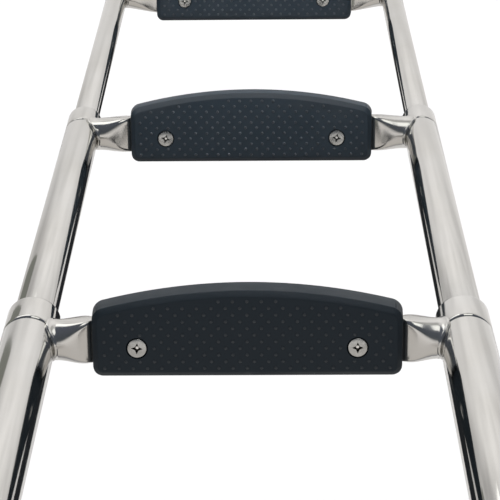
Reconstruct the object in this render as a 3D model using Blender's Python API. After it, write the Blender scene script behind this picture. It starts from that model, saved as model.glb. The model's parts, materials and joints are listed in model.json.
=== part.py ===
"""Telescoping boat boarding ladder: two deck hinges, three tube sections and three treads.

The ladder hangs in use. +Z is up, -Y points outboard to the climber and +Y to the boat.
The origin is on the deck plane, midway between the hinges and under their pivot axis.
Left and right are those of the climber, who faces the boat, so +X is right.
"""

import math

import bmesh
import bpy
from mathutils import Matrix

# Sizes of the whole ladder, in metres and degrees
RAIL_SPACING = 0.254
MIDDLE_PITCH = 0.280
LOWER_PITCH = 0.294
UPPER_REACH = 0.320
LEAN_DEGREES = 15.0

# Clearance between neighbouring pieces
GAP = 0.0003

# Telescoping rail tubes: the smaller tubes follow from the walls and gaps between them
UPPER_TUBE_D = 0.03175
TUBE_WALL = 0.0012
TOP_OVERHANG = 0.018
LOWER_TAIL = 0.025
SEAM_CHAMFER = 0.0009

# Collars at the lower ends of the outer tubes
COLLAR_LENGTH = 0.0235
COLLAR_RIM = 0.0026
SPIGOT_LENGTH = 0.030
SPIGOT_WALL = 0.001375

# Guide bushes on the upper ends of the inner tubes
BUSH_HEAD = 0.014
BUSH_SPIGOT = 0.015
BUSH_WALL = 0.003

# Caps and plugs that close the tubes
CAP_CROWN = 0.003
CAP_SPIGOT = 0.008
PLUG_CROWN = 0.006
PLUG_SPIGOT = 0.015

# Rungs, round at the rails and pressed flat under the treads
RUNG_D = 0.024
RUNG_WALL = 0.0015
RUNG_FLAT_WIDTH = 0.0275
RUNG_FLAT_THICKNESS = 0.011
RUNG_FLAT_PAST_TREAD = 0.001
RUNG_ROUND_RUN = 0.002
RUNG_SHOULDER = 0.0005

# Moulded treads
TREAD_WIDTH = 0.178
TREAD_DECK = 0.0042
TREAD_SKIRT = 0.0032
TREAD_DROP = 0.0055
TREAD_BACK_WALL = 0.0056
TREAD_NOSE = 0.0053
TREAD_ARCH = 0.012
TREAD_CORNER = 0.006
TREAD_CHAMFER = 0.0033
TREAD_RIB = 0.0025
POCKETS = 4

# Tread screws and nuts
SCREW_INSET = 0.0255
SCREW_SETBACK = 0.0024
SCREW_D = 0.006
SCREW_HEAD_D = 0.0113
SCREW_PAST_NUT = 0.0012
SCREW_NUT_FLATS = 0.010
SCREW_NUT_HEIGHT = 0.0045

# Deck hinge brackets
PIVOT_HEIGHT = 0.032
BASE_THICKNESS = 0.004
BASE_LENGTH = 0.066
EAR_THICKNESS = 0.003
EAR_RADIUS = 0.015
EAR_REAR_HEIGHT = 0.010
DECK_HOLE_D = 0.0085
DECK_HOLE_SETBACK = 0.026
DECK_HOLE_SPACING = 0.026

# Pivot bolts, nuts and washers
BOLT_D = 0.008
BOLT_HEAD_D = 0.015
BOLT_HEAD_HEIGHT = 0.0045
BOLT_PAST_NUT = 0.002
BOLT_NUT_FLATS = 0.013
BOLT_NUT_HEIGHT = 0.008
WASHER_D = 0.020
WASHER_THICKNESS = 0.0015

# Fineness of the round shapes
ROUND_STEPS = 24
SMALL_STEPS = 16
NUT_STEPS = 12
CORNER_STEPS = 3
ARCH_STEPS = 12
FLARE_STEPS = 4
MERGE = 1e-6
SMOOTH_ANGLE = math.radians(35.0)

# Values worked out from the sizes above
LEAN = math.radians(LEAN_DEGREES)
RAIL_X = RAIL_SPACING / 2
NESTING = TUBE_WALL + SPIGOT_WALL + 2 * GAP
UPPER_R = UPPER_TUBE_D / 2
MIDDLE_R = UPPER_R - NESTING
LOWER_R = MIDDLE_R - NESTING
RUNG_HALF = RUNG_FLAT_THICKNESS / 2
CHANNEL_HALF = RUNG_FLAT_WIDTH / 2 + GAP
CHANNEL_TOP = RUNG_HALF + GAP
TREAD_TOP = CHANNEL_TOP + TREAD_DECK
TREAD_BOTTOM = -RUNG_HALF - TREAD_DROP
TREAD_BACK = CHANNEL_HALF + TREAD_BACK_WALL
TREAD_END_FRONT = -CHANNEL_HALF - TREAD_NOSE
SCREW_X = TREAD_WIDTH / 2 - SCREW_INSET
SCREW_R = SCREW_D / 2
BOLT_R = BOLT_D / 2
EAR_INSIDE = UPPER_R + WASHER_THICKNESS + 2 * GAP
EAR_OUTSIDE = EAR_INSIDE + EAR_THICKNESS
SIDES = (("left", -1), ("right", 1))

# Turns a shape drawn flat, with its own X, Y and Z, so that they become Y, Z and X
FROM_SIDE = Matrix(((0, 0, 1, 0), (1, 0, 0, 0), (0, 1, 0, 0), (0, 0, 0, 1)))


def clear_scene():
    for old in list(bpy.data.objects):
        bpy.data.objects.remove(old, do_unlink=True)


def finish(name, colour, roughness, metallic):
    """A plain material with one colour."""
    material = bpy.data.materials.new(name)
    material.use_nodes = True
    shader = material.node_tree.nodes["Principled BSDF"]
    shader.inputs["Base Color"].default_value = (*colour, 1.0)
    shader.inputs["Roughness"].default_value = roughness
    shader.inputs["Metallic"].default_value = metallic
    return material


def marker(name, parent=None, at=(0, 0, 0), turn=(0, 0, 0)):
    """An empty that carries a group of pieces."""
    empty = bpy.data.objects.new(name, None)
    bpy.context.scene.collection.objects.link(empty)
    empty.parent = parent
    empty.location = at
    empty.rotation_euler = turn
    return empty


def place(name, shape, material, parent=None, at=(0, 0, 0), turn=(0, 0, 0)):
    """One named piece, from its shape and its place on the parent."""
    mesh = bpy.data.meshes.new(name)
    shape.to_mesh(mesh)
    shape.free()
    mesh.materials.append(material)
    mesh.shade_smooth()
    mesh.set_sharp_from_angle(angle=SMOOTH_ANGLE)
    piece = bpy.data.objects.new(name, mesh)
    bpy.context.scene.collection.objects.link(piece)
    piece.parent = parent
    piece.location = at
    piece.rotation_euler = turn
    return piece


def cut(piece, shape, at=(0, 0, 0), turn=(0, 0, 0)):
    """Takes a shape, placed in the piece's own frame, out of the piece."""
    mesh = bpy.data.meshes.new(piece.name + "_cut")
    shape.to_mesh(mesh)
    shape.free()
    tool = bpy.data.objects.new(piece.name + "_cut", mesh)
    bpy.context.scene.collection.objects.link(tool)
    tool.parent = piece
    tool.location = at
    tool.rotation_euler = turn
    tool.hide_render = True
    tool.display_type = "WIRE"
    modifier = piece.modifiers.new("cut", "BOOLEAN")
    modifier.operation = "DIFFERENCE"
    modifier.solver = "EXACT"
    modifier.object = tool


def turned(profile, steps=ROUND_STEPS):
    """A solid of revolution about Z. A profile that starts and ends on the axis stays open there."""
    shape = bmesh.new()
    corners = [shape.verts.new((radius, 0, height)) for radius, height in profile]
    edges = [shape.edges.new(pair) for pair in zip(corners, corners[1:])]
    if profile[0][0] > 0:
        edges.append(shape.edges.new((corners[-1], corners[0])))
    bmesh.ops.spin(
        shape, geom=corners + edges, axis=(0, 0, 1), angle=math.tau, steps=steps, use_merge=True
    )
    bmesh.ops.remove_doubles(shape, verts=shape.verts, dist=MERGE)
    bmesh.ops.recalc_face_normals(shape, faces=shape.faces)
    return shape


def prism(outline, height):
    """A flat outline in XY, extruded up Z."""
    shape = bmesh.new()
    base = shape.faces.new([shape.verts.new((x, y, 0)) for x, y in outline])
    raised = bmesh.ops.extrude_face_region(shape, geom=[base])["geom"]
    top = [item for item in raised if isinstance(item, bmesh.types.BMVert)]
    bmesh.ops.translate(shape, verts=top, vec=(0, 0, height))
    bmesh.ops.recalc_face_normals(shape, faces=shape.faces)
    return shape


def side_prism(outline, half_width):
    """An outline in Y and Z, extruded the same way to both sides along X."""
    shape = prism(outline, 2 * half_width)
    bmesh.ops.translate(shape, verts=shape.verts, vec=(0, 0, -half_width))
    bmesh.ops.transform(shape, verts=shape.verts, matrix=FROM_SIDE)
    return shape


def skinned(loops):
    """A closed ring of equal loops of points, each joined to the next and the last to the first."""
    shape = bmesh.new()
    rings = [[shape.verts.new(point) for point in loop] for loop in loops]
    for near, far in zip(rings, rings[1:] + rings[:1]):
        for i in range(len(near)):
            shape.faces.new((near[i - 1], near[i], far[i], far[i - 1]))
    bmesh.ops.recalc_face_normals(shape, faces=shape.faces)
    return shape


def rod(radius, half_length, steps=SMALL_STEPS):
    """A plain cylinder about Z, centred, used to cut round holes."""
    return turned(
        [(0, half_length), (radius, half_length), (radius, -half_length), (0, -half_length)], steps
    )


def arc(centre, radius, start, end, steps):
    """Points along an arc, with both ends."""
    turns = [start + (end - start) * i / steps for i in range(steps + 1)]
    return [(centre[0] + radius * math.cos(t), centre[1] + radius * math.sin(t)) for t in turns]


def tube(radius, bottom, top, bottom_chamfer):
    """A rail tube about Z, chamfered outside at its lower end where a collar meets it."""
    bore = radius - TUBE_WALL
    profile = [(bore, top), (radius, top), (radius, bottom + bottom_chamfer)]
    if bottom_chamfer > 0:
        profile.append((radius - bottom_chamfer, bottom))
    profile.append((bore, bottom))
    return turned(profile)


def collar(radius):
    """The guide that ends an outer tube: a ring below the seam at z = 0 and a spigot inside the tube."""
    spigot_r = radius - TUBE_WALL - GAP
    bore = spigot_r - SPIGOT_WALL
    shoulder = -GAP / 2
    rim = min(COLLAR_RIM, radius - bore)
    rounded = arc((radius - rim, rim - COLLAR_LENGTH), rim, 0, -math.pi / 2, CORNER_STEPS)
    profile = [(bore, SPIGOT_LENGTH), (spigot_r, SPIGOT_LENGTH), (spigot_r, shoulder)]
    profile += [(radius - SEAM_CHAMFER, shoulder), (radius, shoulder - SEAM_CHAMFER)]
    profile += rounded
    if rim < radius - bore:
        profile.append((bore, -COLLAR_LENGTH))
    return turned(profile)


def bush(outer_r, inner_r):
    """The nylon guide on an inner tube's upper end: a head inside the outer tube and a spigot."""
    head_r = outer_r - TUBE_WALL - GAP
    spigot_r = inner_r - TUBE_WALL - GAP
    bore = spigot_r - BUSH_WALL
    seat = GAP
    profile = [(bore, seat + BUSH_HEAD), (head_r, seat + BUSH_HEAD), (head_r, seat)]
    profile += [(spigot_r, seat), (spigot_r, -BUSH_SPIGOT), (bore, -BUSH_SPIGOT)]
    return turned(profile)


def stopper(radius, crown, spigot):
    """A plug for a tube end at z = 0: a crowned head outside and a spigot inside."""
    spigot_r = radius - TUBE_WALL - GAP
    dome = [(radius * math.cos(t), GAP + crown * math.sin(t)) for t in dome_turns()]
    profile = [(0, GAP + crown)] + dome[::-1]
    profile += [(spigot_r, GAP), (spigot_r, -spigot), (0, -spigot)]
    return turned(profile)


def dome_turns():
    """Angles from a dome's foot to just short of its top."""
    return [math.pi / 2 * i / CORNER_STEPS for i in range(CORNER_STEPS)]


def pressed_section(x, width, thickness):
    """A tube's section at x: two half circles, drawn apart where the tube is pressed flat."""
    radius = thickness / 2
    spread = (width - thickness) / 2
    half = SMALL_STEPS // 2
    front = arc((-spread, 0), radius, math.pi / 2, 3 * math.pi / 2, half - 1)
    back = arc((spread, 0), radius, -math.pi / 2, math.pi / 2, half - 1)
    return [(x, y, z) for y, z in front + back]


def rung_stations(end_d, rail_r):
    """Width, thickness and place of each section of the rung's right half, from the middle out."""
    flat_x = TREAD_WIDTH / 2 + RUNG_FLAT_PAST_TREAD
    round_x = RAIL_X - rail_r - RUNG_ROUND_RUN
    stations = []
    for i in range(FLARE_STEPS + 1):
        share = i / FLARE_STEPS
        eased = share * share * (3 - 2 * share)
        x = flat_x + (round_x - flat_x) * share
        width = RUNG_FLAT_WIDTH + (end_d - RUNG_FLAT_WIDTH) * eased
        thickness = RUNG_FLAT_THICKNESS + (end_d - RUNG_FLAT_THICKNESS) * eased
        stations.append((x, width, thickness))
    stations.append((RAIL_X, end_d, end_d))
    return stations


def rung(name, material, step, rail_r):
    """A hollow rung, coped to the rails at both ends and drilled for the tread screws."""
    end_d = min(RUNG_D, 2 * (rail_r - RUNG_SHOULDER))
    right = rung_stations(end_d, rail_r)
    stations = [(-x, width, thickness) for x, width, thickness in reversed(right)] + right
    outer = [pressed_section(x, width, thickness) for x, width, thickness in stations]
    bore = 2 * RUNG_WALL
    inner = [pressed_section(x, width - bore, thickness - bore) for x, width, thickness in stations]
    piece = place(name, skinned(outer + inner[::-1]), material, step)
    for _, side in SIDES:
        cut(piece, rod(rail_r + GAP, RUNG_D, ROUND_STEPS), (side * RAIL_X, 0, 0), (-LEAN, 0, 0))
        cut(piece, rod(SCREW_R + GAP, RUNG_FLAT_THICKNESS), (side * SCREW_X, SCREW_SETBACK, 0))
    return piece


def arch_front(x, inset=0.0):
    """The y of the tread's arched front edge at x, or of a line inside it."""
    half = TREAD_WIDTH / 2
    radius = (half * half + TREAD_ARCH * TREAD_ARCH) / (2 * TREAD_ARCH)
    centre_y = TREAD_END_FRONT - TREAD_ARCH + radius
    reach = radius - inset
    return centre_y - math.sqrt(reach * reach - x * x)


def tread_outline():
    """The tread seen from above: straight back and ends, arched front, rounded corners."""
    half = TREAD_WIDTH / 2
    corner = TREAD_CORNER
    outline = arc((half - corner, TREAD_BACK - corner), corner, 0, math.pi / 2, CORNER_STEPS)
    outline += [(-x, y) for x, y in reversed(outline)]
    inside = half - corner
    front_y = arch_front(inside) + corner
    outline += arc((-inside, front_y), corner, math.pi, 3 * math.pi / 2, CORNER_STEPS)
    for i in range(1, ARCH_STEPS):
        x = -inside + 2 * inside * i / ARCH_STEPS
        outline.append((x, arch_front(x)))
    outline += arc((inside, front_y), corner, -math.pi / 2, 0, CORNER_STEPS)
    return outline


def tread_block():
    """The tread's outer form, with a chamfer all round its top."""
    height = TREAD_TOP - TREAD_BOTTOM
    shape = prism(tread_outline(), height)
    bmesh.ops.translate(shape, verts=shape.verts, vec=(0, 0, TREAD_BOTTOM))
    rim = [
        edge
        for edge in shape.edges
        if all(abs(corner.co.z - TREAD_TOP) < MERGE for corner in edge.verts)
    ]
    bmesh.ops.bevel(
        shape,
        geom=rim,
        offset=TREAD_CHAMFER,
        offset_type="OFFSET",
        segments=1,
        profile=0.5,
        affect="EDGES",
        clamp_overlap=True,
        material=-1,
    )
    return shape


def rung_channel():
    """What the tread leaves free for the flat rung: round shouldered, and open below."""
    below = TREAD_BOTTOM - TREAD_DROP
    radius = CHANNEL_TOP
    spread = CHANNEL_HALF - radius
    outline = [(-CHANNEL_HALF, below), (CHANNEL_HALF, below)]
    outline += arc((spread, 0), radius, 0, math.pi / 2, CORNER_STEPS)
    outline += arc((-spread, 0), radius, math.pi / 2, math.pi, CORNER_STEPS)
    return side_prism(outline, TREAD_WIDTH)


def front_pockets():
    """The hollows under the tread's front, with ribs between them."""
    inside = TREAD_WIDTH / 2 - TREAD_CORNER
    pitch = (2 * inside + TREAD_RIB) / POCKETS
    back = -CHANNEL_HALF - TREAD_RIB
    below = TREAD_BOTTOM - TREAD_DROP
    pockets = bmesh.new()
    for i in range(POCKETS):
        start = -inside + i * pitch
        end = start + pitch - TREAD_RIB
        xs = [start + (end - start) * k / CORNER_STEPS for k in range(CORNER_STEPS + 1)]
        outline = [(end, back), (start, back)] + [(x, arch_front(x, TREAD_SKIRT)) for x in xs]
        pocket = prism(outline, CHANNEL_TOP - below)
        bmesh.ops.translate(pocket, verts=pocket.verts, vec=(0, 0, below))
        mesh = bpy.data.meshes.new("pocket")
        pocket.to_mesh(mesh)
        pocket.free()
        pockets.from_mesh(mesh)
        bpy.data.meshes.remove(mesh)
    return pockets


def screw_profile(clearance, bottom):
    """A countersunk screw, or with a clearance the hole that it sits in. Its face is at z = 0."""
    head_r = SCREW_HEAD_D / 2 + clearance
    shank_r = SCREW_R + clearance
    return [(0, 0), (head_r, 0), (shank_r, shank_r - head_r), (shank_r, bottom), (0, bottom)]


def screw_hole():
    """The countersunk hole through the tread, open above and below."""
    profile = screw_profile(GAP, TREAD_BOTTOM - TREAD_TOP)
    head_r = profile[1][0]
    return turned([(0, GAP), (head_r, GAP)] + profile[1:], SMALL_STEPS)


def hex_nut(flats, height, bore_r):
    """A plain hexagon nut about Z, its upper face at z = 0."""
    sixth = math.pi / 3
    hexagon = []
    circle = []
    for i in range(NUT_STEPS):
        t = math.tau * i / NUT_STEPS
        reach = flats / 2 / math.cos((t + sixth / 2) % sixth - sixth / 2)
        hexagon.append((reach * math.cos(t), reach * math.sin(t)))
        circle.append((bore_r * math.cos(t), bore_r * math.sin(t)))
    layers = ((hexagon, 0), (hexagon, -height), (circle, -height), (circle, 0))
    return skinned([[(x, y, z) for x, y in loop] for loop, z in layers])


def step_pieces(section, step, rail_r, finishes):
    """One step: the rung, its tread, and the screws and nuts that hold the two together."""
    rung(section + "_rung", finishes["tube"], step, rail_r)
    tread = place(section + "_tread", tread_block(), finishes["tread"], step)
    cut(tread, rung_channel())
    cut(tread, front_pockets())
    nut_top = -RUNG_HALF - GAP
    screw_end = nut_top - SCREW_NUT_HEIGHT - SCREW_PAST_NUT
    for side_name, side in SIDES:
        x = side * SCREW_X
        cut(tread, screw_hole(), (x, SCREW_SETBACK, TREAD_TOP))
        name = section + "_" + side_name
        screw = turned(screw_profile(0, screw_end - TREAD_TOP), SMALL_STEPS)
        place(name + "_screw", screw, finishes["fastener"], step, (x, SCREW_SETBACK, TREAD_TOP))
        nut = hex_nut(SCREW_NUT_FLATS, SCREW_NUT_HEIGHT, SCREW_R + GAP)
        place(name + "_nut", nut, finishes["fastener"], step, (x, SCREW_SETBACK, nut_top))


def tangent_turn(point, centre, radius, side):
    """The angle on a circle where a line from the point touches it, on the side given."""
    away_y = point[0] - centre[0]
    away_z = point[1] - centre[1]
    return math.atan2(away_z, away_y) + side * math.acos(radius / math.hypot(away_y, away_z))


def ear_outline(front, rear):
    """The bracket seen from its side, in Y and Z: a flat foot and a round eye at the pivot."""
    eye = (0, PIVOT_HEIGHT)
    rear_top = (rear, EAR_REAR_HEIGHT)
    front_top = (front, BASE_THICKNESS)
    start = tangent_turn(rear_top, eye, EAR_RADIUS, 1)
    end = tangent_turn(front_top, eye, EAR_RADIUS, -1) + math.tau
    outline = [(front, 0), (rear, 0), rear_top]
    outline += arc(eye, EAR_RADIUS, start, end, SMALL_STEPS // 2)
    outline.append(front_top)
    return outline


def base_front():
    """The y of the base's front edge, where the hanging tube leans on it."""
    drop = PIVOT_HEIGHT - BASE_THICKNESS
    return (UPPER_R + GAP) / math.cos(LEAN) - drop * math.tan(LEAN)


def bracket(name, material, x):
    """A deck hinge: a flat base with two ears, drilled for the pivot and for two deck bolts."""
    front = base_front()
    rear = front + BASE_LENGTH
    piece = place(name, side_prism(ear_outline(front, rear), EAR_OUTSIDE), material, at=(x, 0, 0))
    reach = BASE_LENGTH + EAR_RADIUS
    height = PIVOT_HEIGHT + EAR_RADIUS
    side = EAR_INSIDE
    outline = [(-side, front - reach), (side, front - reach), (side, rear + reach), (-side, rear + reach)]
    cut(piece, prism(outline, height), (0, 0, BASE_THICKNESS))
    cut(piece, rod(BOLT_R + GAP, 2 * EAR_OUTSIDE), (0, 0, PIVOT_HEIGHT), (0, math.pi / 2, 0))
    for i in range(2):
        hole_y = front + DECK_HOLE_SETBACK + i * DECK_HOLE_SPACING
        cut(piece, rod(DECK_HOLE_D / 2, 2 * BASE_THICKNESS), (0, hole_y, 0))
    return piece


def bolt():
    """A pivot bolt about Z with a crowned round head above z = 0, its shank below."""
    head_r = BOLT_HEAD_D / 2
    end = -2 * (EAR_OUTSIDE + GAP) - BOLT_NUT_HEIGHT - BOLT_PAST_NUT
    dome = [(head_r * math.cos(t), BOLT_HEAD_HEIGHT * math.sin(t)) for t in dome_turns()]
    profile = [(0, BOLT_HEAD_HEIGHT)] + dome[::-1] + [(BOLT_R, 0), (BOLT_R, end), (0, end)]
    return turned(profile, SMALL_STEPS)


def washer():
    """A plain nylon washer about Z, centred."""
    half = WASHER_THICKNESS / 2
    bore = BOLT_R + GAP
    outside = WASHER_D / 2
    return turned([(bore, half), (outside, half), (outside, -half), (bore, -half)], SMALL_STEPS)


def hinges(finishes):
    """Both deck hinges, with their bolts, nuts and washers."""
    for side_name, side in SIDES:
        rail_x = side * RAIL_X
        fastener = finishes["fastener"]
        bracket(side_name + "_deck_bracket", finishes["tube"], rail_x)
        # The bolt's head is outboard of the rail on each side, so it turns with the side
        turn = (0, side * math.pi / 2, 0)
        head_x = rail_x + side * (EAR_OUTSIDE + GAP)
        nut_x = rail_x - side * (EAR_OUTSIDE + GAP)
        place(side_name + "_pivot_bolt", bolt(), fastener, None, (head_x, 0, PIVOT_HEIGHT), turn)
        nut = hex_nut(BOLT_NUT_FLATS, BOLT_NUT_HEIGHT, BOLT_R + GAP)
        place(side_name + "_pivot_nut", nut, fastener, None, (nut_x, 0, PIVOT_HEIGHT), turn)
        for where, way in (("outer", side), ("inner", -side)):
            x = rail_x + way * (UPPER_R + GAP + WASHER_THICKNESS / 2)
            name = side_name + "_" + where + "_washer"
            place(name, washer(), finishes["nylon"], None, (x, 0, PIVOT_HEIGHT), turn)


def upper_section(pivot, step, finishes):
    """The upper rails, drilled for the pivot bolts, with their caps and collars."""
    steel = finishes["tube"]
    for side_name, side in SIDES:
        x = side * RAIL_X
        rail = tube(UPPER_R, GAP / 2 - UPPER_REACH, TOP_OVERHANG, SEAM_CHAMFER)
        piece = place(side_name + "_upper_tube", rail, steel, pivot, (x, 0, 0))
        cut(piece, rod(BOLT_R + GAP, UPPER_TUBE_D), turn=(0, math.pi / 2, 0))
        cap = stopper(UPPER_R, CAP_CROWN, CAP_SPIGOT)
        place(side_name + "_top_cap", cap, finishes["cap"], pivot, (x, 0, TOP_OVERHANG))
        place(side_name + "_upper_collar", collar(UPPER_R), steel, pivot, (x, 0, -UPPER_REACH))
    step_pieces("upper", step, UPPER_R, finishes)


def middle_section(section, step, finishes):
    """The middle rails, with the bushes that guide them and the collars for the lower rails."""
    steel = finishes["tube"]
    nylon = finishes["nylon"]
    top = MIDDLE_PITCH + SPIGOT_LENGTH
    for side_name, side in SIDES:
        x = side * RAIL_X
        rail = tube(MIDDLE_R, GAP / 2, top, SEAM_CHAMFER)
        place(side_name + "_middle_tube", rail, steel, section, (x, 0, 0))
        place(side_name + "_middle_bush", bush(UPPER_R, MIDDLE_R), nylon, section, (x, 0, top))
        place(side_name + "_middle_collar", collar(MIDDLE_R), steel, section, (x, 0, 0))
    step_pieces("middle", step, MIDDLE_R, finishes)


def lower_section(section, step, finishes):
    """The lower rails, with the bushes that guide them and the plugs that close them."""
    steel = finishes["tube"]
    nylon = finishes["nylon"]
    top = LOWER_PITCH + SPIGOT_LENGTH
    for side_name, side in SIDES:
        x = side * RAIL_X
        place(side_name + "_lower_tube", tube(LOWER_R, -LOWER_TAIL, top, 0), steel, section, (x, 0, 0))
        place(side_name + "_lower_bush", bush(MIDDLE_R, LOWER_R), nylon, section, (x, 0, top))
        plug = stopper(LOWER_R, PLUG_CROWN, PLUG_SPIGOT)
        foot = (x, 0, -LOWER_TAIL)
        place(side_name + "_end_plug", plug, finishes["cap"], section, foot, (math.pi, 0, 0))
    step_pieces("lower", step, LOWER_R, finishes)


def main():
    clear_scene()
    finishes = {
        "tube": finish("polished_stainless", (0.72, 0.71, 0.69), 0.10, 1.0),
        "fastener": finish("fastener_stainless", (0.55, 0.54, 0.52), 0.30, 1.0),
        "tread": finish("black_moulding", (0.016, 0.020, 0.025), 0.55, 0.0),
        "cap": finish("black_cap", (0.012, 0.012, 0.013), 0.45, 0.0),
        "nylon": finish("white_nylon", (0.75, 0.74, 0.70), 0.50, 0.0),
    }

    # Rails run along the pivot frame's Z, and each step frame turns back to the level
    pivot = marker("swing_pivot", None, (0, 0, PIVOT_HEIGHT), (-LEAN, 0, 0))
    upper_step = marker("upper_step", pivot, (0, 0, -UPPER_REACH), (LEAN, 0, 0))
    middle = marker("middle_slide", pivot, (0, 0, -UPPER_REACH - MIDDLE_PITCH))
    middle_step = marker("middle_step", middle, turn=(LEAN, 0, 0))
    lower = marker("lower_slide", middle, (0, 0, -LOWER_PITCH))
    lower_step = marker("lower_step", lower, turn=(LEAN, 0, 0))

    hinges(finishes)
    upper_section(pivot, upper_step, finishes)
    middle_section(middle, middle_step, finishes)
    lower_section(lower, lower_step, finishes)


main()
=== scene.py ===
# %% [markdown]
# # A telescoping boarding ladder
#
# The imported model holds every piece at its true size, with coarse curves and plain finishes.
# This lesson models each piece again with fine curves, small edge rounds and its real details,
# in the place that the frame gives it. Everything is in metres. +Z is up, -Y is outboard, and
# left and right are the climber's own.

import json
import math

import bmesh
import bpy
from mathutils import Matrix, Vector

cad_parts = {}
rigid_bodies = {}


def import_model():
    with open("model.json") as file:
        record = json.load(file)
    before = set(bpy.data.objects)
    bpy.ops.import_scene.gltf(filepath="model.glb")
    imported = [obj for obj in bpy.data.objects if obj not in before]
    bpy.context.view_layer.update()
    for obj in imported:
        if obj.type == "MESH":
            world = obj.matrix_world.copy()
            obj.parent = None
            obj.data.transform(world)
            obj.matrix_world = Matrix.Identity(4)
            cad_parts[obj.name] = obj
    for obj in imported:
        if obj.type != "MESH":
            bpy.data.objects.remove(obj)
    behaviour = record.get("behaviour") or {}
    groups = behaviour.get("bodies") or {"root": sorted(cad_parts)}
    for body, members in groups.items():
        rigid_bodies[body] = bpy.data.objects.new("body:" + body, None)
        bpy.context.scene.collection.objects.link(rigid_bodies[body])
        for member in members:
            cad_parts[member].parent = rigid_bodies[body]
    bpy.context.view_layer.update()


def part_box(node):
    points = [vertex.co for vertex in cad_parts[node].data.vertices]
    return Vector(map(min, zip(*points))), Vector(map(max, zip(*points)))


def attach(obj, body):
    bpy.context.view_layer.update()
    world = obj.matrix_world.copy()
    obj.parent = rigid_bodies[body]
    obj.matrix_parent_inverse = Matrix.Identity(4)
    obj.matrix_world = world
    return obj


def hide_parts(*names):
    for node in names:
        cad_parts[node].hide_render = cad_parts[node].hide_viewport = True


for startup_object in list(bpy.data.objects):
    bpy.data.objects.remove(startup_object, do_unlink=True)
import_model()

# %% [markdown]
# ## The ladder's own frame
#
# The rails lean 15 degrees, so a rail is easiest to model upright and then put in place with
# one matrix. The rungs stay level, so a step only needs to be moved. These few numbers repeat
# the sizes of the solids, and the printed heights show that both agree.

# %% Shared sizes and places
MM = 0.001
X, Y, Z = range(3)
LEAN = math.radians(15.0)
RAIL_X = 127 * MM
PIVOT = Vector((0, 0, 32 * MM))
RAIL_UP = Vector((0, math.sin(LEAN), math.cos(LEAN)))
PITCH = {"middle": 280 * MM, "lower": 294 * MM}
REACH = {"upper": 320 * MM, "middle": 600 * MM, "lower": 894 * MM}
RADIUS = {"upper": 15.875 * MM, "middle": 12.7 * MM, "lower": 9.525 * MM}
GAP = 0.3 * MM
WALL = 1.2 * MM
SECTIONS = ("upper", "middle", "lower")
SIDES = (("left", -1), ("right", 1))


def rail_place(side, reach):
    """Puts an upright shape on a rail, its origin that far below the pivot."""
    at = PIVOT - reach * RAIL_UP + Vector((side * RAIL_X, 0, 0))
    return Matrix.Translation(at) @ Matrix.Rotation(-LEAN, 4, "X")


def step_place(section, at=(0, 0, 0)):
    """Puts a level shape at a step, at a point that is measured from the rung's centre."""
    return Matrix.Translation(PIVOT - REACH[section] * RAIL_UP + Vector(at))


for section in SECTIONS:
    low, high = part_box(section + "_rung")
    height = step_place(section).translation.z
    print(section, "rung at", round(height, 4), "and its solid at", round((low + high).z / 2, 4))

# %% [markdown]
# ## Helpers
#
# Most pieces of a tube ladder are turned, so a profile spun about Z makes them, and `dome`
# gives the points of a rounded end. A real edge is never perfectly sharp: `soften` bevels
# every sharp edge a little, which gives each edge its thin line of light.

# %% Turned shapes and edge rounds
TOUCH = 1e-6


def turned(profile, steps=96):
    """Spins a profile of (radius, height) points about Z into a closed solid."""
    shape = bmesh.new()
    points = [shape.verts.new((radius, 0, height)) for radius, height in profile]
    lines = [shape.edges.new(pair) for pair in zip(points, points[1:])]
    if profile[0][0] > 0:
        lines.append(shape.edges.new((points[-1], points[0])))
    bmesh.ops.spin(
        shape, geom=points + lines, axis=(0, 0, 1), angle=math.tau, steps=steps, use_merge=True
    )
    bmesh.ops.remove_doubles(shape, verts=shape.verts, dist=TOUCH)
    bmesh.ops.recalc_face_normals(shape, faces=shape.faces)
    return shape


def dome(radius, base, rise, steps=8):
    """The profile of a rounded end, from its top on the axis down to its rim."""
    points = [(0, base + rise)]
    for i in range(1, steps + 1):
        turn = math.pi / 2 * (1 - i / steps)
        points.append((radius * math.cos(turn), base + rise * math.sin(turn)))
    return points


def round_edges(shape, geom, width, segments=2, affect="EDGES"):
    """Bevels the edges given, or the corners of a flat face."""
    bmesh.ops.bevel(
        shape,
        geom=geom,
        offset=width,
        offset_type="OFFSET",
        segments=segments,
        profile=0.5,
        affect=affect,
        clamp_overlap=True,
        material=-1,
    )
    return shape


def soften(shape, width, segments=2, angle=30.0):
    """Bevels every edge that is sharper than the angle."""
    limit = math.radians(angle)
    sharp = [edge for edge in shape.edges if edge.is_manifold and edge.calc_face_angle() > limit]
    return round_edges(shape, sharp, width, segments)


def edges_at(shape, axis, value):
    """The edges that lie in one plane across an axis."""
    return [e for e in shape.edges if all(abs(v.co[axis] - value) < TOUCH for v in e.verts)]


def ring_edges(shape, radius, height):
    """The edges that run round a turned shape at one radius and height."""
    level = edges_at(shape, Z, height)
    return [e for e in level if all(abs(v.co.xy.length - radius) < TOUCH for v in e.verts)]


# %% [markdown]
# The other shapes start from a block or a rod. `carve` runs a Boolean for holes and hollows,
# with a modifier on two short-lived objects, because bmesh has no Boolean of its own.


# %% Blocks, rods and Booleans
def moved(shape, matrix):
    """Applies a matrix to the whole shape."""
    bmesh.ops.transform(shape, matrix=matrix, verts=shape.verts)
    return shape


def block(size, at=(0, 0, 0)):
    """A box of the size given, centred at a point."""
    shape = bmesh.new()
    place = Matrix.Translation(at) @ Matrix.Diagonal((*size, 1))
    bmesh.ops.create_cube(shape, size=1.0, matrix=place)
    return shape


def rod(radius, length, sides=48, tip=None):
    """A cylinder, a prism of few sides or a cone about Z, centred."""
    shape = bmesh.new()
    top = radius if tip is None else tip
    bmesh.ops.create_cone(
        shape, cap_ends=True, segments=sides, radius1=radius, radius2=top, depth=length
    )
    return shape


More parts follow.
